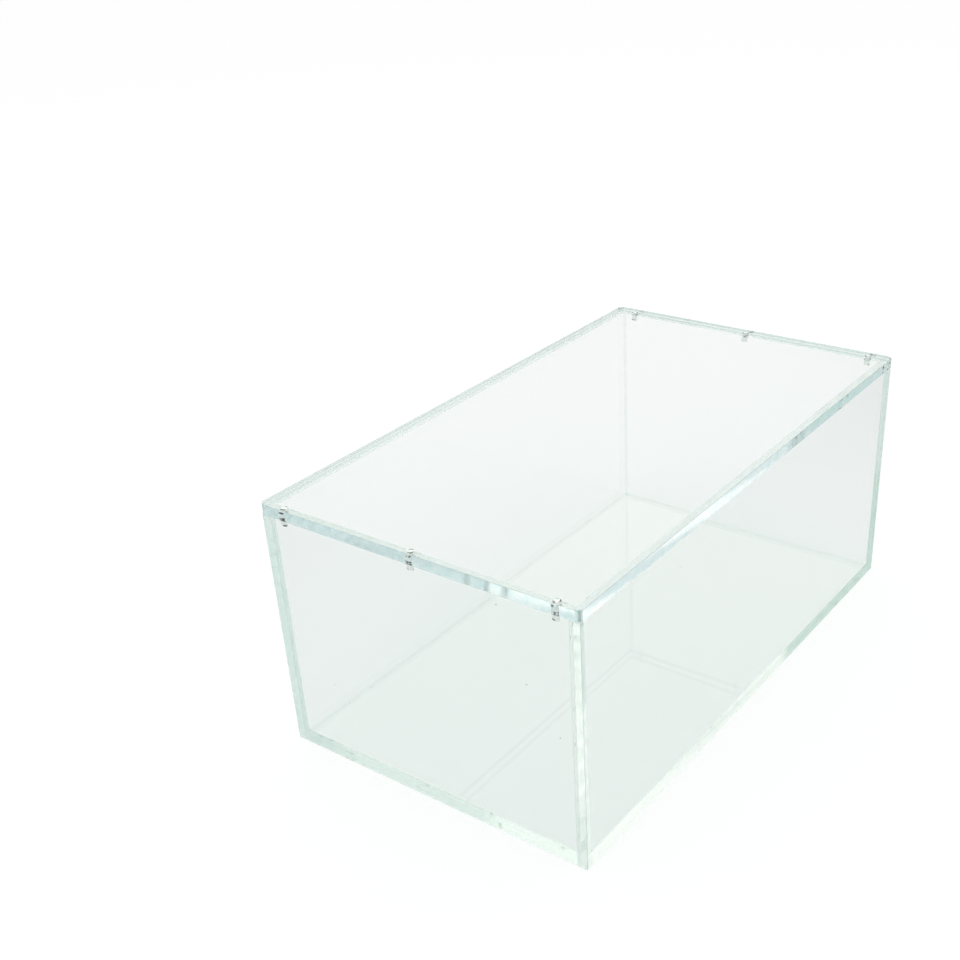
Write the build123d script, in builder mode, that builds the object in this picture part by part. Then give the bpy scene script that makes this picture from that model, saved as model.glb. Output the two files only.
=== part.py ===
"""Clear acrylic display case: a bonded box of five panels and a loose lid held by pairs of small magnets.

The long side of the case runs along X, its short side along Y, and it stands on the XY plane with the
origin under its middle. All lengths are in millimetres.
"""

import os

from build123d import *

# Room inside the closed case
inner_length = 330.0
inner_width = 185.0
inner_height = 138.0

# Sheet that the walls, the base and the lid are cut from
wall_thickness = 6.0
base_thickness = 6.0
lid_thickness = 6.0

# Lid outline, measured past the outer faces of the box
lid_end_overhang = 1.0
lid_side_overhang = 0.5
lid_corner_cut = 2.5

# Small flats that take the sharpness off the polished edges
lid_edge_ease = 0.15
wall_edge_ease = 0.15

# Cylindrical magnets, one in the lid above one in the wall
magnet_diameter = 4.0
magnet_height = 4.0
magnet_edge_round = 0.25
magnet_recess = 0.1
pocket_side_clearance = 0.1
pocket_end_clearance = 0.2
magnet_side_distance = 14.0

# Sizes that follow from the ones above
outer_length = inner_length + 2 * wall_thickness
outer_width = inner_width + 2 * wall_thickness
wall_height = base_thickness + inner_height
lid_length = outer_length + 2 * lid_end_overhang
lid_width = outer_width + 2 * lid_side_overhang
pocket_radius = magnet_diameter / 2 + pocket_side_clearance
pocket_depth = magnet_recess + magnet_height + pocket_end_clearance
end_wall_centre = (inner_length + wall_thickness) / 2
side_wall_centre = (inner_width + wall_thickness) / 2
magnet_row_half = outer_width / 2 - magnet_side_distance

ends = {"left": -1, "right": 1}
sides = {"front": -1, "back": 1}
magnet_rows = {"front": -magnet_row_half, "middle": 0.0, "back": magnet_row_half}

os.makedirs("parts", exist_ok=True)


def save(piece, name):
    """Labels a finished piece and writes it as its own file."""
    piece.part.label = name
    export_step(piece.part, f"parts/{name}.step")


def magnet_places(end):
    """Axes of the three magnets along one end wall."""
    return [(end * end_wall_centre, row) for row in magnet_rows.values()]


# Base panel, set between the four walls and flush with their lower edges
with BuildPart() as base_panel:
    with BuildSketch(Plane.XY):
        Rectangle(inner_length, inner_width)
    extrude(amount=base_thickness)
save(base_panel, "base_panel")

# Two long side walls, which run the full length of the box and cover the ends of the end walls
for side_name, side in sides.items():
    with BuildPart() as side_wall:
        with BuildSketch(Plane.XY):
            with Locations((0, side * side_wall_centre)):
                Rectangle(outer_length, wall_thickness)
        extrude(amount=wall_height)
        outer_face = side_wall.faces().sort_by(Axis.Y)[-1 if side > 0 else 0]
        across_the_ends = side_wall.edges().filter_by(Axis.Y)
        chamfer(outer_face.edges() + across_the_ends, wall_edge_ease)
    save(side_wall, f"{side_name}_wall")

# Two end walls between the long ones, each with three magnet pockets in its upper edge
for end_name, end in ends.items():
    with BuildPart() as end_wall:
        with BuildSketch(Plane.XY):
            with Locations((end * end_wall_centre, 0)):
                Rectangle(wall_thickness, inner_width)
        extrude(amount=wall_height)
        outer_face = end_wall.faces().sort_by(Axis.X)[-1 if end > 0 else 0]
        chamfer(outer_face.edges().filter_by(Axis.Y), wall_edge_ease)
        with BuildSketch(Plane.XY.offset(wall_height)):
            with Locations(*magnet_places(end)):
                Circle(pocket_radius)
        extrude(amount=-pocket_depth, mode=Mode.SUBTRACT)
    save(end_wall, f"{end_name}_end_wall")

# Lid, a flat panel with its corners cut off that lies on the walls, pocketed from below above each wall magnet
with BuildPart() as lid:
    with BuildSketch(Plane.XY.offset(wall_height)):
        Rectangle(lid_length, lid_width)
    extrude(amount=lid_thickness)
    chamfer(lid.edges().filter_by(Axis.Z), lid_corner_cut)
    lower_face = lid.faces().sort_by(Axis.Z)[0]
    upper_face = lid.faces().sort_by(Axis.Z)[-1]
    chamfer(lower_face.edges() + upper_face.edges(), lid_edge_ease)
    with BuildSketch(Plane.XY.offset(wall_height)):
        for end in ends.values():
            with Locations(*magnet_places(end)):
                Circle(pocket_radius)
    extrude(amount=pocket_depth, mode=Mode.SUBTRACT)
save(lid, "lid")

# Twelve magnets, glued in the end walls and in the lid, each a hair short of the face where the two meet
magnet_floors = {
    "wall": wall_height - magnet_recess - magnet_height,
    "lid": wall_height + magnet_recess,
}
for holder, floor in magnet_floors.items():
    for end_name, end in ends.items():
        for row_name, row in magnet_rows.items():
            with BuildPart() as magnet:
                with BuildSketch(Plane.XY.offset(floor)):
                    with Locations((end * end_wall_centre, row)):
                        Circle(magnet_diameter / 2)
                extrude(amount=magnet_height)
                fillet(magnet.edges().filter_by(GeomType.CIRCLE), magnet_edge_round)
            save(magnet, f"{holder}_magnet_{end_name}_{row_name}")
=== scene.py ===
"""Clear acrylic display case with a loose magnetic lid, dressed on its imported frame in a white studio."""

import math

import bpy
from bpy.props import FloatProperty, FloatVectorProperty, IntProperty, PointerProperty
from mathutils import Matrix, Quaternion, Vector


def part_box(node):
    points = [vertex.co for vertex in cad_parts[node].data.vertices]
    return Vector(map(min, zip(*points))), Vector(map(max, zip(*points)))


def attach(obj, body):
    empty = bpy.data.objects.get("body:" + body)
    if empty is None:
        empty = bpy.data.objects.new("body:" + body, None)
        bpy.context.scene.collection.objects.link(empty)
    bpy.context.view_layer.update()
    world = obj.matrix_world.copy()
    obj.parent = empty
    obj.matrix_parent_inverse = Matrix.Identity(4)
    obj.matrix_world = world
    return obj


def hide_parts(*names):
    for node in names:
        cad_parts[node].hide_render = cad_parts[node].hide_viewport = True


bl_info = {
    "name": "Acrylic Display Case",
    "version": (1, 0, 0),
    "blender": (4, 5, 0),
    "location": "View3D > Sidebar > Display Case",
    "description": "Clear panels with polished edges, plated magnets, and a white studio to show them in",
    "category": "Add Mesh",
}

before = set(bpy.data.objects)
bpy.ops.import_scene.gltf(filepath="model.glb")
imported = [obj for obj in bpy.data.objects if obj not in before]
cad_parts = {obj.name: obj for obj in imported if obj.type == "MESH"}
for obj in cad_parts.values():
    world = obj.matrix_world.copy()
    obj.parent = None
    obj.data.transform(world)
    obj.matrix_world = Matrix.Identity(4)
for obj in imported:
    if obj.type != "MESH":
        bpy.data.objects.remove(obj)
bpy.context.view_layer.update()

LONG_WALLS = ("front_wall", "back_wall")
END_WALLS = ("left_end_wall", "right_end_wall")
ROWS = ("front", "middle", "back")
WHITE = (1.0, 1.0, 1.0, 1.0)

# Lengths, and parts of a normal, that differ by less than this are the same
EPSILON = 1e-5
# Least part of a normal along an axis, on a face square to that axis and on one that mostly faces its way
SQUARE = 0.999
MOSTLY = 0.5
# Edges that turn by less than this are shaded smooth
SMOOTH_ANGLE = math.radians(50)
# Weight at which the broadest face at a corner sets the shading there
BROADEST = 100
# Share of the bond overlap taken off the base's upper edges, which lie inside the walls
BASE_EASE = 0.5
# Nearest and farthest that the camera sees
SIGHT = (0.01, 100.0)

# How close the patterns lie, in waves or cells to the metre
LONG_WAVES = 14.0
SMEARS = 22.0
DUST_CELLS = 38.0
POLISH_MARKS = 160.0
BUBBLE_CELLS = 160.0
GLUE_RIPPLES = 260.0
SCRATCHES = 420.0
# Patches of the painted shade round the magnets' ends
PAINTED_SHADE_PATCHES = 480.0
DRILL_MARKS = 500.0
SCUFFS = 1500.0

# Octaves of a soft pattern and of a fine one
SOFT = 1.0
FINE = 3.0

# Closeness of the drill marks and of the scuffs along X, Y and Z
DRILL_GRAIN = (0.2, 0.2, 4.0)
SCUFF_GRAIN = (1.0, 1.0, 0.3)

# Noise values between which each pattern goes from none to full
NOISE_SPREAD = (0.3, 0.7)
SMEAR_SPREAD = (0.5, 0.75)
FLECK_SPREAD = (0.72, 0.34)
PATCH_SPREAD = (0.49, 0.52)

# Share of a dot's radius, and of the reach of the painted shade at the magnets' ends, that is full before it
# fades
DOT_CORE = 0.6
PAINTED_SHADE_CORE = 0.8
# Least roughness of the cut edges, and least and most of the plating, as shares of their settings
POLISH_LEAST = 0.5
SCUFF_SPREAD = (0.6, 1.5)


class CaseSheetSettings(bpy.types.PropertyGroup):
    """How the acrylic sheet is cut, eased and bonded."""

    wall_ease: FloatProperty(
        name="Wall Edge Ease", description="Width taken off the walls' outer edges",
        default=0.00015, unit="LENGTH")
    lid_ease: FloatProperty(
        name="Lid Edge Ease", description="Width taken off the lid's upper and lower edges",
        default=0.00015, unit="LENGTH")
    lid_corner: FloatProperty(
        name="Lid Corner Cut", description="Length taken off each edge at the lid's four upright corners",
        default=0.0025, unit="LENGTH")
    ease_segments: IntProperty(
        name="Ease Segments", description="Facets across each eased edge", default=2)
    bond_overlap: FloatProperty(
        name="Bond Overlap", description="Depth that a bonded panel reaches into its neighbour",
        default=0.00005, unit="LENGTH")
    lid_air_film: FloatProperty(
        name="Lid Air Film", description="Film of air between the walls and the lid that lies on them",
        default=0.00005, unit="LENGTH")
    pocket_grip: FloatProperty(
        name="Pocket Grip", description="How far the clear glue that fills a pocket reaches into its magnet",
        default=0.00002, unit="LENGTH", precision=6)
    pocket_segments: IntProperty(
        name="Pocket Segments", description="Facets round each magnet pocket", default=32)


class CaseAcrylicSettings(bpy.types.PropertyGroup):
    """The look of the clear acrylic."""

    index_of_refraction: FloatProperty(
        name="Index of Refraction", description="How far the acrylic bends light", default=1.49)
    body_tint: FloatVectorProperty(
        name="Body Tint", description="Colour left after a long way through the sheet",
        subtype="COLOR", default=(0.35, 0.75, 0.66))
    body_density: FloatProperty(
        name="Body Density", description="How strongly the sheet takes up the other colours, per metre",
        default=0.6)
    face_tint: FloatVectorProperty(
        name="Face Tint", description="Colour left after passing through one panel", subtype="COLOR",
        default=(0.966, 0.986, 0.981))
    wall_edge_tint: FloatVectorProperty(
        name="Wall Edge Tint", description="Colour left by the duller flecks on the walls' cut edges",
        subtype="COLOR", default=(0.92, 0.95, 0.94))
    # Partly painted: duller flecks on the lid's cut edges, given a deep teal that is painted shade and a
    # painted bluish reflection
    lid_fleck_and_painted_shade_tint: FloatVectorProperty(
        name="Lid Edge Fleck And Shade Tint", description="Colour left by the duller flecks on the lid's cut edges",
        subtype="COLOR", default=(0.64, 0.81, 0.84))
    bond_tint: FloatVectorProperty(
        name="Bond Tint", description="Colour left after passing into a bonded joint and out of it",
        subtype="COLOR", default=(0.925, 0.96, 0.94))
    shade_tint: FloatVectorProperty(
        name="Shade Tint", description="Colour of the light that each face lets through to what lies behind",
        subtype="COLOR", default=(0.945, 0.968, 0.958))
    face_roughness: FloatProperty(
        name="Face Roughness", description="Roughness of the faint smears on the broad faces", default=0.035)
    sawn_roughness: FloatProperty(
        name="Edge Roughness", description="Roughness of the polished cut edges", default=0.12)
    eased_roughness: FloatProperty(
        name="Eased Roughness", description="Roughness of the scraped flats along the eased edges",
        default=0.25)
    corner_roughness: FloatProperty(
        name="Corner Roughness", description="Roughness of the flats across the lid's corners", default=0.5)
    bond_roughness: FloatProperty(
        name="Bond Roughness", description="Roughness of the glued faces in the bonded joints", default=0.14)
    drilled_roughness: FloatProperty(
        name="Pocket Roughness", description="Roughness of the drilled magnet pockets", default=0.12)
    face_wave: FloatProperty(
        name="Face Waviness", description="Height of the long waves in the cast sheet",
        default=0.00001, unit="LENGTH", precision=6)
    sawn_wave: FloatProperty(
        name="Edge Waviness", description="Height of the polishing marks on the cut edges",
        default=0.000005, unit="LENGTH", precision=6)
    glue_wave: FloatProperty(
        name="Glue Waviness", description="Height of the ripples in the bonded joints",
        default=0.000005, unit="LENGTH", precision=6)
    drill_wave: FloatProperty(
        name="Drill Mark Height", description="Height of the rings that the drill left in the magnet pockets",
        default=0.00003, unit="LENGTH", precision=6)
    dust_radius: FloatProperty(
        name="Dust Radius", description="Radius of the specks of dust",
        default=0.00045, unit="LENGTH", precision=6)
    bubble_radius: FloatProperty(
        name="Bubble Radius", description="Radius of the bubbles in the bonded joints",
        default=0.0012, unit="LENGTH")
    wall_grain: FloatVectorProperty(
        name="Wall Grain", description="How close the marks on the walls' cut edges lie along X, Y and Z",
        default=(1.0, 1.0, 0.06))
    lid_grain: FloatVectorProperty(
        name="Lid Grain", description="How close the marks on the lid's cut edges lie along X, Y and Z",
        default=(1.0, 1.0, 0.8))
    dust_colour: FloatVectorProperty(
        name="Dust Colour", description="Colour of the specks of dust", subtype="COLOR",
        default=(0.06, 0.08, 0.07))
    bubble_colour: FloatVectorProperty(
        name="Bubble Colour", description="Colour left by the bubbles in the bonded joints", subtype="COLOR",
        default=(0.36, 0.50, 0.43))


class CaseMagnetSettings(bpy.types.PropertyGroup):
    """The look of the plated magnets, with painted shade at their ends."""

    plating: FloatVectorProperty(
        name="Plating", description="Colour of the bright plating", subtype="COLOR",
        default=(0.95, 0.98, 0.95))
    # Painted shade: the dark colour at the magnets' ends stands in for shade in their pockets and dark
    # reflections, not glue
    painted_end_shade: FloatVectorProperty(
        name="Painted End Shade", description="Colour of the dark residue round the magnets' ends",
        subtype="COLOR", default=(0.03, 0.04, 0.03))
    plating_roughness: FloatProperty(
        name="Plating Roughness", description="Roughness of the plating", default=0.25)
    plating_shine: FloatProperty(
        name="Plating Shine", description="How far the satin plating mirrors rather than scatters",
        default=0.15)
    # Painted shade: how far the dark rings reach along each magnet from its end
    painted_shade_reach: FloatProperty(
        name="Painted Shade Reach", description="How far the residue reaches along a magnet from its end",
        default=0.0010, unit="LENGTH")
    # Painted shade: darker towards the rim of each magnet's end
    painted_shade_rim: FloatVectorProperty(
        name="Painted Shade Rim", description="Shares of a magnet's radius where the residue on its ends starts "
        "and is full", size=2, default=(0.56, 0.74))


class CaseStudioSettings(bpy.types.PropertyGroup):
    """The floor, the light and the camera."""

    floor_size: FloatProperty(
        name="Floor Size", description="Side of the square floor", default=24.0, unit="LENGTH")
    floor_drop: FloatProperty(
        name="Floor Drop", description="Film of air between the floor and the case",
        default=0.0002, unit="LENGTH")
    floor_colour: FloatVectorProperty(
        name="Floor Colour", description="Colour of the floor", subtype="COLOR", default=(0.70, 0.70, 0.70))
    floor_glow: FloatProperty(
        name="Floor Glow", description="White that clear and glossy things see in the floor as well",
        default=0.235)
    floor_glow_reach: FloatVectorProperty(
        name="Floor Glow Reach", description="Distance from the window's line at which that white starts to "
        "fade and is gone", size=2, unit="LENGTH", default=(0.14, 0.60))
    background_colour: FloatVectorProperty(
        name="Background Colour", description="Colour of the floor as the camera sees it", subtype="COLOR",
        default=(0.50, 0.50, 0.50))
    background_glow: FloatProperty(
        name="Background Glow", description="White added to the floor as the camera sees it", default=0.53)
    room_light: FloatVectorProperty(
        name="Room Light", description="Even light that the room gives", subtype="COLOR",
        default=(0.92, 0.92, 0.92))
    left_colour: FloatVectorProperty(
        name="Left Colour", description="Colour of the room's left side as clear and glossy things see it",
        subtype="COLOR", default=(0.72, 0.86, 0.80))
    right_colour: FloatVectorProperty(
        name="Right Colour", description="Colour of the room's right side as clear and glossy things see it",
        subtype="COLOR", default=(1.0, 1.0, 1.0))
    back_colour: FloatVectorProperty(
        name="Back Colour", description="Colour of the room's back as clear and glossy things see it",
        subtype="COLOR", default=(0.80, 0.84, 0.86))
    back_spread: FloatVectorProperty(
        name="Back Spread", description="Cosines of the turn from the window's line at which the back of the "
        "room starts and is full", size=2, default=(0.45, 0.80))
    side_spread: FloatVectorProperty(
        name="Side Spread", description="Cosines of the turn from the right of the window's line at which "
        "the left colour ends and the right colour is full", size=2, default=(-0.5, 0.5))
    side_rise: FloatVectorProperty(
        name="Side Rise", description="Heights between which the white horizon turns into the side colour",
        size=2, default=(0.10, 0.35))
    window_strength: FloatProperty(
        name="Window Strength", description="Brightness of the window behind the case", default=1.5)
    window_colour: FloatVectorProperty(
        name="Window Colour", description="Colour of the window behind the case", subtype="COLOR",
        default=(1.0, 0.90, 0.88))
    window_direction: FloatVectorProperty(
        name="Window Direction", description="Way from the case to the window behind it",
        default=(0.705, 0.531, 0.469))
    window_spread: FloatVectorProperty(
        name="Window Spread", description="Angles from the window's middle to its edge, soft and full",
        size=2, unit="ROTATION", default=(math.radians(28.0), math.radians(18.0)))
    lamp_place: FloatVectorProperty(
        name="Lamp Place", description="Middle of the soft lamp", subtype="TRANSLATION",
        default=(0.35, 0.45, 1.5))
    lamp_size: FloatProperty(
        name="Lamp Size", description="Side of the soft lamp", default=1.1, unit="LENGTH")
    lamp_power: FloatProperty(
        name="Lamp Power", description="Power of the soft lamp", default=2.5, unit="POWER")
    camera_place: FloatVectorProperty(
        name="Camera Place", description="Where the camera stands", subtype="TRANSLATION",
        default=(-0.55659, -0.36906, 0.44769))
    camera_aim: FloatVectorProperty(
        name="Camera Aim", description="Point that the camera's own axis passes through",
        subtype="TRANSLATION", default=(-0.03865, 0.02534, 0.075))
    camera_roll: FloatProperty(
        name="Camera Roll", description="Turn of the camera about its own axis", subtype="ANGLE",
        default=math.radians(-2.968))
    camera_sensor: FloatProperty(
        name="Sensor Width", description="Width of the camera's sensor, in millimetres", default=36.0)
    camera_lens: FloatProperty(
        name="Focal Length", description="Focal length of the lens, in millimetres", default=48.414)
    camera_shift: FloatVectorProperty(
        name="Camera Shift", description="Sideways and upward shift of the lens", size=2,
        default=(-0.0565, 0.0797))
    solid_bounces: IntProperty(
        name="Solid Bounces", description="Faces that a ray may meet on its way along inside a panel",
        default=256)
    shadow_bounces: IntProperty(
        name="Shadow Bounces", description="Clear faces that light may pass on its way to what lies behind",
        default=48)


def deselect_all():
    """Leaves edit mode and deselects every object."""
    if bpy.context.object is not None and bpy.context.object.mode != "OBJECT":
        bpy.ops.object.mode_set(mode="OBJECT")
    bpy.ops.object.select_all(action="DESELECT")


def select_only(piece):
    """Makes a piece the one selected and active object."""
    deselect_all()
    piece.select_set(True)
    bpy.context.view_layer.objects.active = piece


def place_in_mesh(piece):
    """Moves an object's place, turn and scale into its mesh."""
    select_only(piece)
    bpy.ops.object.transform_apply(location=True, rotation=True, scale=True)


def add_panel(name, low, high):
    """Adds a plain sheet between two corners."""
    deselect_all()
    centre = (low + high) / 2
    bpy.ops.mesh.primitive_cube_add(size=1.0, location=centre)
    panel = bpy.context.object
    panel.name = panel.data.name = name
    bpy.ops.object.mode_set(mode="EDIT")
    bpy.ops.mesh.select_all(action="SELECT")
    bpy.ops.transform.resize(value=high - low, center_override=centre)
    place_in_mesh(panel)
    return panel


def bevel_edges(panel, chosen, width, segments):
    """Bevels the edges whose two ends pass the test chosen(start, end)."""
    select_only(panel)
    bpy.ops.object.mode_set(mode="EDIT")
    bpy.ops.mesh.select_mode(type="EDGE")
    bpy.ops.mesh.select_all(action="DESELECT")
    bpy.ops.object.mode_set(mode="OBJECT")
    points = panel.data.vertices
    for edge in panel.data.edges:
        edge.select = chosen(*(points[corner].co for corner in edge.vertices))
    bpy.ops.object.mode_set(mode="EDIT")
    bpy.ops.mesh.bevel(offset=width, segments=segments, affect="EDGES")
    bpy.ops.object.mode_set(mode="OBJECT")


def near(a, b):
    """Tells whether two lengths are the same."""
    return abs(a - b) < EPSILON


def cut_pockets(panel, magnets, mouth_height, sheet):
    """Cuts a round pocket into a panel for each magnet, open at mouth_height."""
    for magnet in magnets:
        low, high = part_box(magnet)
        radius = (high.x - low.x) / 2 - sheet.pocket_grip
        centre = (low + high) / 2
        opens_up = mouth_height > centre.z
        far_end = low.z + sheet.pocket_grip if opens_up else high.z - sheet.pocket_grip
        past_mouth = mouth_height + (radius if opens_up else -radius)
        deselect_all()
        bpy.ops.mesh.primitive_cylinder_add(
            vertices=sheet.pocket_segments, radius=radius, depth=abs(past_mouth - far_end),
            location=(centre.x, centre.y, (past_mouth + far_end) / 2))
        drill = bpy.context.object
        place_in_mesh(drill)
        select_only(panel)
        cut = panel.modifiers.new("Pocket", "BOOLEAN")
        cut.operation = "DIFFERENCE"
        cut.solver = "EXACT"
        cut.object = drill
        bpy.ops.object.modifier_apply(modifier=cut.name)
        bpy.data.objects.remove(drill)


def mark_faces(panel, name, chosen):
    """Writes an attribute: 1 on the faces that pass the test chosen(centre, normal), and 0 on the others."""
    marks = panel.data.attributes.new(name, "FLOAT", "FACE")
    marks.data.foreach_set("value", [float(chosen(face.center, face.normal)) for face in panel.data.polygons])


def no_face(centre, normal):
    """Chooses none of the faces."""
    return False


def mark_work(panel, sawn=no_face, bonded=no_face, drilled=no_face):
    """Marks the faces of a panel that were sawn, bonded and drilled."""
    mark_faces(panel, "sawn", sawn)
    mark_faces(panel, "bonded", bonded)
    mark_faces(panel, "drilled", drilled)


def mark_eased(panel):
    """Marks the narrow flats along the eased edges, and the wider ones across the lid's corners."""
    def slanted(centre, normal):
        return max(abs(part) for part in normal) < SQUARE

    mark_faces(panel, "corner", lambda centre, normal: slanted(centre, normal) and abs(normal.z) < EPSILON
               and abs(abs(normal.x) - abs(normal.y)) < EPSILON)
    mark_faces(panel, "eased", slanted)


def in_pocket(magnets, mouth_height, sheet):
    """Gives a test for faces that lie in the pocket of one of the magnets."""
    boxes = [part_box(magnet) for magnet in magnets]

    def chosen(centre, normal):
        for low, high in boxes:
            axis = (low + high) / 2
            radius = (high.x - low.x) / 2 + sheet.pocket_grip
            beside = (centre - axis).to_2d().length < radius
            in_from_mouth = abs(centre.z - mouth_height) > sheet.lid_air_film
            level = abs(centre.z - axis.z) < 2 * radius
            if beside and in_from_mouth and level:
                return True
        return False

    return chosen


def smooth_panel(panel):
    """Shades the eased edges and corners smooth and keeps the broad faces flat."""
    select_only(panel)
    bpy.ops.object.shade_smooth_by_angle(angle=SMOOTH_ANGLE)
    weight = panel.modifiers.new("Flat Faces", "WEIGHTED_NORMAL")
    weight.weight = BROADEST
    weight.keep_sharp = True
    bpy.ops.object.modifier_apply(modifier=weight.name)


def finish_panel(panel, node, body, material):
    """Shades a panel, gives it its material and puts it in the place of its CAD node."""
    mark_eased(panel)
    smooth_panel(panel)
    panel.data.materials.append(material)
    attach(panel, body)
    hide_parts(node)


def add_node(tree, kind, inputs=None, **options):
    """Adds a shader node, sets its options, and fills its sockets with values or other nodes' outputs."""
    made = tree.nodes.new(kind)
    for option, value in options.items():
        setattr(made, option, value)
    for socket, value in (inputs or {}).items():
        if isinstance(value, bpy.types.NodeSocket):
            tree.links.new(value, made.inputs[socket])
        else:
            made.inputs[socket].default_value = value
    return made


def add_math(tree, operation, *values):
    """Adds a Math node and returns its output."""
    return add_node(tree, "ShaderNodeMath", dict(enumerate(values)), operation=operation).outputs[0]


def add_range(tree, value, start, end, low=0.0, high=1.0, steps="LINEAR"):
    """Maps the values from start to end onto low to high, and returns the output."""
    inputs = {"Value": value, "From Min": start, "From Max": end, "To Min": low, "To Max": high}
    return add_node(tree, "ShaderNodeMapRange", inputs, interpolation_type=steps).outputs["Result"]


def add_noise(tree, place, scale, detail, stretch=(1.0, 1.0, 1.0)):
    """Adds a noise pattern with so many waves to the metre and so many octaves, and returns its value."""
    stretched = add_node(tree, "ShaderNodeMapping", {"Vector": place, "Scale": stretch}).outputs["Vector"]
    noise = add_node(tree, "ShaderNodeTexNoise", {"Vector": stretched, "Scale": scale, "Detail": detail})
    return noise.outputs["Fac"]


def add_dots(tree, place, cells_per_metre, radius):
    """Adds a scatter of small dots, and returns 1 inside them and 0 outside."""
    cells = add_node(tree, "ShaderNodeTexVoronoi", {"Vector": place, "Scale": cells_per_metre})
    edge = radius * cells_per_metre
    return add_range(tree, cells.outputs["Distance"], edge, DOT_CORE * edge)


def add_mark(tree, name):
    """Reads a mark that mark_faces wrote."""
    return add_node(tree, "ShaderNodeAttribute", attribute_name=name).outputs["Fac"]


def mix_colours(tree, factor, first, second):
    """Mixes two colours and returns the output."""
    inputs = {0: factor, 6: first, 7: second}
    return add_node(tree, "ShaderNodeMix", inputs, data_type="RGBA").outputs[2]


def opaque(colour):
    """Gives a colour its fourth channel."""
    return (*colour, 1.0)


def make_acrylic(name, grain, edge_tint):
    """Clear acrylic: faint smears and dust on its faces, marks on its cut edges and bubbles in its bonds."""
    look = bpy.context.scene.case_acrylic
    material = bpy.data.materials.new(name)
    material.use_nodes = True
    tree = material.node_tree
    tree.nodes.clear()
    place = add_node(tree, "ShaderNodeTexCoord").outputs["Object"]
    sawn, bonded, drilled, eased, corner = (
        add_mark(tree, mark) for mark in ("sawn", "bonded", "drilled", "eased", "corner"))

    smears = add_range(tree, add_noise(tree, place, SMEARS, FINE), *SMEAR_SPREAD, 0.0, look.face_roughness)
    polish = add_range(
        tree, add_noise(tree, place, POLISH_MARKS, FINE, grain), *NOISE_SPREAD,
        POLISH_LEAST * look.sawn_roughness, look.sawn_roughness)
    polished = add_math(tree, "MULTIPLY", sawn, polish)
    scraped = add_math(tree, "MULTIPLY", eased, look.eased_roughness)
    flats = add_range(tree, corner, 0.0, 1.0, scraped, look.corner_roughness)
    glued = add_math(tree, "MULTIPLY", bonded, look.bond_roughness)
    undrilled = smears
    for worked in (polished, glued, flats):
        undrilled = add_math(tree, "MAXIMUM", undrilled, worked)
    roughness = add_range(tree, drilled, 0.0, 1.0, undrilled, look.drilled_roughness)

    dust = add_dots(tree, place, DUST_CELLS, look.dust_radius)
    bubbles = add_math(tree, "MULTIPLY", bonded, add_dots(tree, place, BUBBLE_CELLS, look.bubble_radius))
    scratches = add_noise(tree, place, SCRATCHES, FINE, grain)
    flecks = add_math(tree, "MULTIPLY", sawn, add_range(tree, scratches, *FLECK_SPREAD))
    # On the lid this edge tint is partly painted shade and a painted bluish reflection, besides the duller
    # flecks
    edge_flecks_and_painted_shade = mix_colours(tree, flecks, opaque(look.face_tint), opaque(edge_tint))
    clean = mix_colours(tree, bonded, edge_flecks_and_painted_shade, opaque(look.bond_tint))
    bubbled = mix_colours(tree, bubbles, clean, opaque(look.bubble_colour))
    colour = mix_colours(tree, dust, bubbled, opaque(look.dust_colour))

    height = add_math(tree, "MULTIPLY", add_noise(tree, place, LONG_WAVES, SOFT), look.face_wave)
    reliefs = (
        (sawn, scratches, look.sawn_wave),
        (bonded, add_noise(tree, place, GLUE_RIPPLES, FINE), look.glue_wave),
        (drilled, add_noise(tree, place, DRILL_MARKS, SOFT, DRILL_GRAIN), look.drill_wave),
    )
    for mark, pattern, full_height in reliefs:
        relief = add_math(tree, "MULTIPLY", mark, add_math(tree, "MULTIPLY", pattern, full_height))
        height = add_math(tree, "ADD", height, relief)
    bump = add_node(tree, "ShaderNodeBump", {"Height": height, "Distance": 1.0, "Strength": 1.0})

    clear = add_node(tree, "ShaderNodeBsdfPrincipled", {
        "Base Color": colour, "Roughness": roughness, "IOR": look.index_of_refraction,
        "Transmission Weight": 1.0, "Normal": bump.outputs["Normal"]})
    passing = add_node(tree, "ShaderNodeBsdfTransparent", {"Color": opaque(look.shade_tint)})
    path = add_node(tree, "ShaderNodeLightPath").outputs
    lights_behind = add_math(tree, "MAXIMUM", path["Is Shadow Ray"], path["Is Diffuse Ray"])
    surface = add_node(tree, "ShaderNodeMixShader", {
        0: lights_behind, 1: clear.outputs["BSDF"], 2: passing.outputs["BSDF"]})
    body = add_node(tree, "ShaderNodeVolumeAbsorption", {
        "Color": opaque(look.body_tint), "Density": look.body_density})
    output = add_node(tree, "ShaderNodeOutputMaterial")
    tree.links.new(surface.outputs[0], output.inputs["Surface"])
    tree.links.new(body.outputs[0], output.inputs["Volume"])
    return material


def sheet_acrylic():
    """The material of the five bonded panels, made once."""
    look = bpy.context.scene.case_acrylic
    made = bpy.data.materials.get("clear_acrylic_sheet")
    return made or make_acrylic("clear_acrylic_sheet", look.wall_grain, look.wall_edge_tint)


def away_from(tree, value, place):
    """Gives how far a value is from a place along its axis."""
    return add_math(tree, "ABSOLUTE", add_math(tree, "SUBTRACT", value, place))


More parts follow.
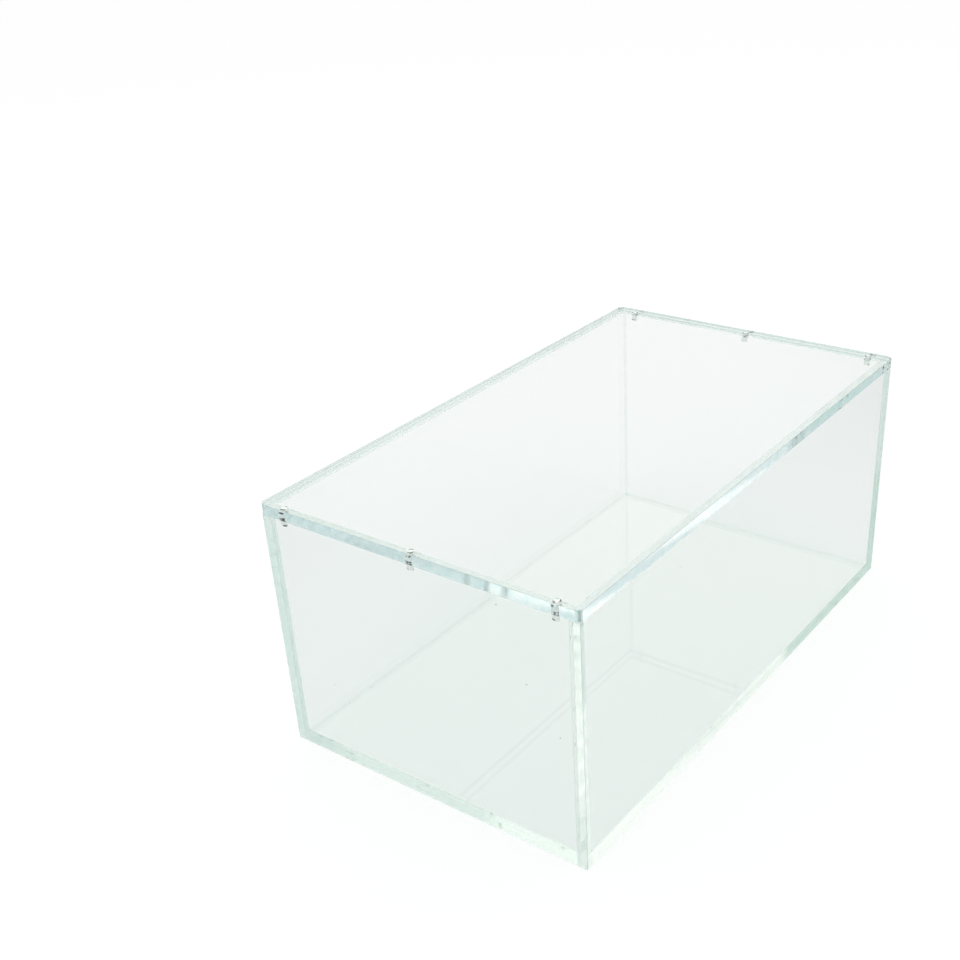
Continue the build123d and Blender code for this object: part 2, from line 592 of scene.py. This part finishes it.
def make_plating():
    """Bright plating with fine scuffs, and broken dark rings of painted shade and painted dark reflection at
    both ends of each magnet.
    """
    look = bpy.context.scene.case_magnets
    material = bpy.data.materials.new("magnet_plating")
    material.use_nodes = True
    tree = material.node_tree
    metal = tree.nodes["Principled BSDF"]
    place = add_node(tree, "ShaderNodeTexCoord").outputs["Object"]
    along, across, height = add_node(tree, "ShaderNodeSeparateXYZ", {0: place}).outputs
    low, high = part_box("wall_magnet_left_front")
    axis = (low + high) / 2
    from_end_row = away_from(tree, add_math(tree, "ABSOLUTE", along), abs(axis.x))
    from_outer = away_from(tree, add_math(tree, "ABSOLUTE", across), abs(axis.y))
    from_row = add_math(tree, "MINIMUM", from_outer, away_from(tree, across, 0.0))
    squares = (add_math(tree, "MULTIPLY", part, part) for part in (from_end_row, from_row))
    from_axis = add_math(tree, "SQRT", add_math(tree, "ADD", *squares))
    # Painted shade, darkest towards the rim of each magnet's end
    rim = add_range(tree, from_axis, *(share * (high.x - low.x) / 2 for share in look.painted_shade_rim))
    rings = []
    for magnet in ("wall_magnet_left_front", "lid_magnet_left_front"):
        low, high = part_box(magnet)
        for end in (low.z, high.z):
            rings.append(add_range(
                tree, away_from(tree, height, end), look.painted_shade_reach, PAINTED_SHADE_CORE * look.painted_shade_reach))
    nearest = rings[0]
    for ring in rings[1:]:
        nearest = add_math(tree, "MAXIMUM", nearest, ring)
    patches = add_range(tree, add_noise(tree, place, PAINTED_SHADE_PATCHES, SOFT), *PATCH_SPREAD)
    # Painted shade and painted dark reflections: broken dark rings at both ends of each magnet
    painted_end_shade = add_math(tree, "MULTIPLY", add_math(tree, "MULTIPLY", nearest, rim), patches)
    scuffs = add_noise(tree, place, SCUFFS, FINE, SCUFF_GRAIN)
    colour = mix_colours(tree, painted_end_shade, opaque(look.plating), opaque(look.painted_end_shade))
    roughness = add_range(
        tree, scuffs, *NOISE_SPREAD, *(share * look.plating_roughness for share in SCUFF_SPREAD))
    shine = add_range(tree, painted_end_shade, 0.0, 1.0, look.plating_shine, 0.0)
    tree.links.new(colour, metal.inputs["Base Color"])
    tree.links.new(roughness, metal.inputs["Roughness"])
    tree.links.new(shine, metal.inputs["Metallic"])
    return material


def amount_along(tree, way, direction):
    """Gives how far a place or a way lies along a direction."""
    inputs = {0: way, 1: direction}
    return add_node(tree, "ShaderNodeVectorMath", inputs, operation="DOT_PRODUCT").outputs["Value"]


def seen_in_clear_things(tree, path):
    """Gives 1 for a ray that reaches the room in a gloss or through something clear."""
    return add_math(tree, "MAXIMUM", path["Is Glossy Ray"], path["Is Transmission Ray"])


def glowing(tree, colour, strength):
    """Makes a plain diffuse shader that also gives out white of its own, and returns its output."""
    plain = add_node(tree, "ShaderNodeBsdfDiffuse", {"Color": opaque(colour)}).outputs[0]
    glow = add_node(tree, "ShaderNodeEmission", {"Strength": strength}).outputs[0]
    return add_node(tree, "ShaderNodeAddShader", {0: plain, 1: glow}).outputs[0]


class CASE_OT_base_panel(bpy.types.Operator):
    """Base panel, bonded in between the four walls"""

    bl_idname = "case.base_panel"
    bl_label = "Base Panel"

    def execute(self, context):
        sheet = context.scene.case_sheet
        low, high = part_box("base_panel")
        reach = Vector((sheet.bond_overlap, sheet.bond_overlap, 0.0))
        panel = add_panel("base_panel_acrylic", low - reach, high + reach)
        bevel_edges(panel, lambda a, b: near(a.z, high.z) and near(b.z, high.z),
                    BASE_EASE * sheet.bond_overlap, 1)
        mark_work(panel, bonded=lambda centre, normal: abs(normal.z) < MOSTLY)
        finish_panel(panel, "base_panel", "case", sheet_acrylic())
        return {"FINISHED"}


class CASE_OT_long_walls(bpy.types.Operator):
    """Front and back walls, which run the full length of the case"""

    bl_idname = "case.long_walls"
    bl_label = "Long Walls"

    def execute(self, context):
        sheet = context.scene.case_sheet
        for node in LONG_WALLS:
            low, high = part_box(node)
            high.z -= sheet.lid_air_film
            outer = low.y if low.y < 0 else high.y
            wall = add_panel(f"{node}_acrylic", low, high)
            bevel_edges(
                wall, lambda a, b: near(a.y, b.y) and near(a.y, outer) or near(a.x, b.x) and near(a.z, b.z),
                sheet.wall_ease, sheet.ease_segments)
            mark_work(wall, sawn=lambda centre, normal: abs(normal.y) < MOSTLY)
            finish_panel(wall, node, "case", sheet_acrylic())
        return {"FINISHED"}


class CASE_OT_end_walls(bpy.types.Operator):
    """End walls between the long ones, with three magnet pockets in the upper edge of each"""

    bl_idname = "case.end_walls"
    bl_label = "End Walls"

    def execute(self, context):
        sheet = context.scene.case_sheet
        for node in END_WALLS:
            low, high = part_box(node)
            high.z -= sheet.lid_air_film
            low.y -= sheet.bond_overlap
            high.y += sheet.bond_overlap
            outer = low.x if low.x < 0 else high.x
            wall = add_panel(f"{node}_acrylic", low, high)
            bevel_edges(
                wall, lambda a, b: near(a.x, outer) and near(b.x, outer) and near(a.z, b.z),
                sheet.wall_ease, sheet.ease_segments)
            side = node.removesuffix("_end_wall")
            magnets = [f"wall_magnet_{side}_{row}" for row in ROWS]
            cut_pockets(wall, magnets, high.z, sheet)
            drilled = in_pocket(magnets, high.z, sheet)
            mark_work(
                wall, drilled=drilled,
                sawn=lambda centre, normal: abs(normal.z) > MOSTLY and not drilled(centre, normal),
                bonded=lambda centre, normal: abs(normal.y) > MOSTLY and not drilled(centre, normal))
            finish_panel(wall, node, "case", sheet_acrylic())
        return {"FINISHED"}


class CASE_OT_lid(bpy.types.Operator):
    """Loose lid with its corners cut off and six magnet pockets in its underside"""

    bl_idname = "case.lid"
    bl_label = "Lid"

    def execute(self, context):
        sheet = context.scene.case_sheet
        low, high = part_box("lid")
        lid = add_panel("lid_acrylic", low, high)
        bevel_edges(lid, lambda a, b: near(a.x, b.x) and near(a.y, b.y), sheet.lid_corner, 1)
        bevel_edges(lid, lambda a, b: near(a.z, b.z), sheet.lid_ease, sheet.ease_segments)
        magnets = [f"lid_magnet_{side}_{row}" for side in ("left", "right") for row in ROWS]
        cut_pockets(lid, magnets, low.z, sheet)
        drilled = in_pocket(magnets, low.z, sheet)
        mark_work(
            lid, drilled=drilled,
            sawn=lambda centre, normal: abs(normal.z) < MOSTLY and not drilled(centre, normal))
        look = context.scene.case_acrylic
        acrylic = make_acrylic("clear_acrylic_lid", look.lid_grain, look.lid_fleck_and_painted_shade_tint)
        finish_panel(lid, "lid", "lid", acrylic)
        return {"FINISHED"}


class CASE_OT_magnets(bpy.types.Operator):
    """Plated finish of the twelve magnets"""

    bl_idname = "case.magnets"
    bl_label = "Magnets"

    def execute(self, context):
        plating = make_plating()
        for node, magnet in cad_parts.items():
            if "magnet" in node:
                magnet.data.materials.clear()
                magnet.data.materials.append(plating)
        return {"FINISHED"}


class CASE_OT_studio(bpy.types.Operator):
    """White floor, bright room, soft lamp and camera"""

    bl_idname = "case.studio"
    bl_label = "Studio"

    def execute(self, context):
        studio = context.scene.case_studio
        self.add_floor(studio)
        self.add_room(studio)
        self.add_lamp(studio)
        self.add_camera(studio)
        self.let_light_through(studio, context.scene.cycles)
        context.scene.view_settings.view_transform = "Standard"
        return {"FINISHED"}

    def add_floor(self, studio):
        deselect_all()
        bpy.ops.mesh.primitive_plane_add(size=studio.floor_size, location=(0.0, 0.0, -studio.floor_drop))
        floor = bpy.context.object
        floor.name = "studio_floor"
        place_in_mesh(floor)
        material = bpy.data.materials.new("studio_floor")
        material.use_nodes = True
        tree = material.node_tree
        tree.nodes.clear()
        path = add_node(tree, "ShaderNodeLightPath").outputs
        place = add_node(tree, "ShaderNodeTexCoord").outputs["Object"]
        line = Vector(studio.window_direction).to_2d().normalized()
        far = add_math(tree, "ABSOLUTE", amount_along(tree, place, (-line.y, line.x, 0.0)))
        mirrored = add_range(tree, far, *studio.floor_glow_reach, studio.floor_glow, 0.0, "SMOOTHSTEP")
        in_things = add_math(tree, "MULTIPLY", seen_in_clear_things(tree, path), mirrored)
        lit = glowing(tree, studio.floor_colour, in_things)
        background = glowing(tree, studio.background_colour, studio.background_glow)
        either = add_node(tree, "ShaderNodeMixShader", {0: path["Is Camera Ray"], 1: lit, 2: background})
        output = add_node(tree, "ShaderNodeOutputMaterial")
        tree.links.new(either.outputs[0], output.inputs["Surface"])
        floor.data.materials.append(material)

    def add_room(self, studio):
        world = bpy.data.worlds.new("studio_room")
        bpy.context.scene.world = world
        world.use_nodes = True
        tree = world.node_tree
        tree.nodes.clear()
        way = add_node(tree, "ShaderNodeTexCoord").outputs["Generated"]
        path = add_node(tree, "ShaderNodeLightPath").outputs
        towards = Vector(studio.window_direction).normalized()
        window = add_range(
            tree, amount_along(tree, way, towards), *(math.cos(edge) for edge in studio.window_spread))
        window = add_math(tree, "MULTIPLY", window, path["Is Transmission Ray"])
        height = add_node(tree, "ShaderNodeSeparateXYZ", {0: way}).outputs["Z"]
        above = add_range(tree, height, *studio.side_rise)
        line = Vector(studio.window_direction).to_2d().normalized().to_3d()
        behind = add_range(tree, amount_along(tree, way, line), *studio.back_spread)
        right = add_range(tree, amount_along(tree, way, (line.y, -line.x, 0.0)), *studio.side_spread)
        sideways = mix_colours(tree, right, opaque(studio.left_colour), opaque(studio.right_colour))
        upper = mix_colours(tree, behind, sideways, opaque(studio.back_colour))
        sides = mix_colours(tree, above, WHITE, upper)
        bright = opaque([part * studio.window_strength for part in studio.window_colour])
        reflected = mix_colours(tree, window, sides, bright)
        light = mix_colours(tree, seen_in_clear_things(tree, path), opaque(studio.room_light), reflected)
        colour = mix_colours(tree, path["Is Camera Ray"], light, WHITE)
        room = add_node(tree, "ShaderNodeBackground", {"Color": colour, "Strength": 1.0})
        output = add_node(tree, "ShaderNodeOutputWorld")
        tree.links.new(room.outputs[0], output.inputs["Surface"])

    def add_lamp(self, studio):
        deselect_all()
        place = Vector(studio.lamp_place)
        turn = (-place).to_track_quat("-Z", "Y").to_euler()
        bpy.ops.object.light_add(type="AREA", location=place, rotation=turn)
        lamp = bpy.context.object
        lamp.name = "soft_lamp"
        lamp.data.size = studio.lamp_size
        lamp.data.energy = studio.lamp_power
        lamp.visible_camera = False

    def add_camera(self, studio):
        deselect_all()
        place, aim = Vector(studio.camera_place), Vector(studio.camera_aim)
        level = (aim - place).to_track_quat("-Z", "Y")
        turn = level @ Quaternion((0.0, 0.0, 1.0), studio.camera_roll)
        bpy.ops.object.camera_add(location=place, rotation=turn.to_euler())
        camera = bpy.context.object
        camera.name = "photo_camera"
        camera.data.sensor_width = studio.camera_sensor
        camera.data.lens = studio.camera_lens
        camera.data.shift_x, camera.data.shift_y = studio.camera_shift
        camera.data.clip_start, camera.data.clip_end = SIGHT
        bpy.context.scene.camera = camera

    def let_light_through(self, studio, tracing):
        """Lets rays meet as many faces as they do inside the panels."""
        tracing.max_bounces = studio.solid_bounces
        tracing.glossy_bounces = studio.solid_bounces
        tracing.transmission_bounces = studio.solid_bounces
        tracing.transparent_max_bounces = studio.shadow_bounces


class CASE_PT_panel(bpy.types.Panel):
    """Lists the pieces of the display case"""

    bl_idname = "CASE_PT_panel"
    bl_label = "Acrylic Display Case"
    bl_space_type = "VIEW_3D"
    bl_region_type = "UI"
    bl_category = "Display Case"

    def draw(self, context):
        for operator in PIECES:
            self.layout.operator(operator.bl_idname, text=operator.bl_label)
        for name in SETTINGS:
            group = getattr(context.scene, name)
            column = self.layout.column()
            for value in group.bl_rna.properties.keys():
                if value not in ("rna_type", "name"):
                    column.prop(group, value)


SETTINGS = {
    "case_sheet": CaseSheetSettings,
    "case_acrylic": CaseAcrylicSettings,
    "case_magnets": CaseMagnetSettings,
    "case_studio": CaseStudioSettings,
}
PIECES = (
    CASE_OT_base_panel,
    CASE_OT_long_walls,
    CASE_OT_end_walls,
    CASE_OT_lid,
    CASE_OT_magnets,
    CASE_OT_studio,
)


def register():
    for cls in (*SETTINGS.values(), *PIECES, CASE_PT_panel):
        bpy.utils.register_class(cls)
    for name, group in SETTINGS.items():
        setattr(bpy.types.Scene, name, PointerProperty(type=group))


def unregister():
    for name in SETTINGS:
        delattr(bpy.types.Scene, name)
    for cls in reversed((*SETTINGS.values(), *PIECES, CASE_PT_panel)):
        bpy.utils.unregister_class(cls)


def main():
    register()
    bpy.ops.case.base_panel()
    bpy.ops.case.long_walls()
    bpy.ops.case.end_walls()
    bpy.ops.case.lid()
    bpy.ops.case.magnets()
    bpy.ops.case.studio()


if __name__ == "__main__":
    main()
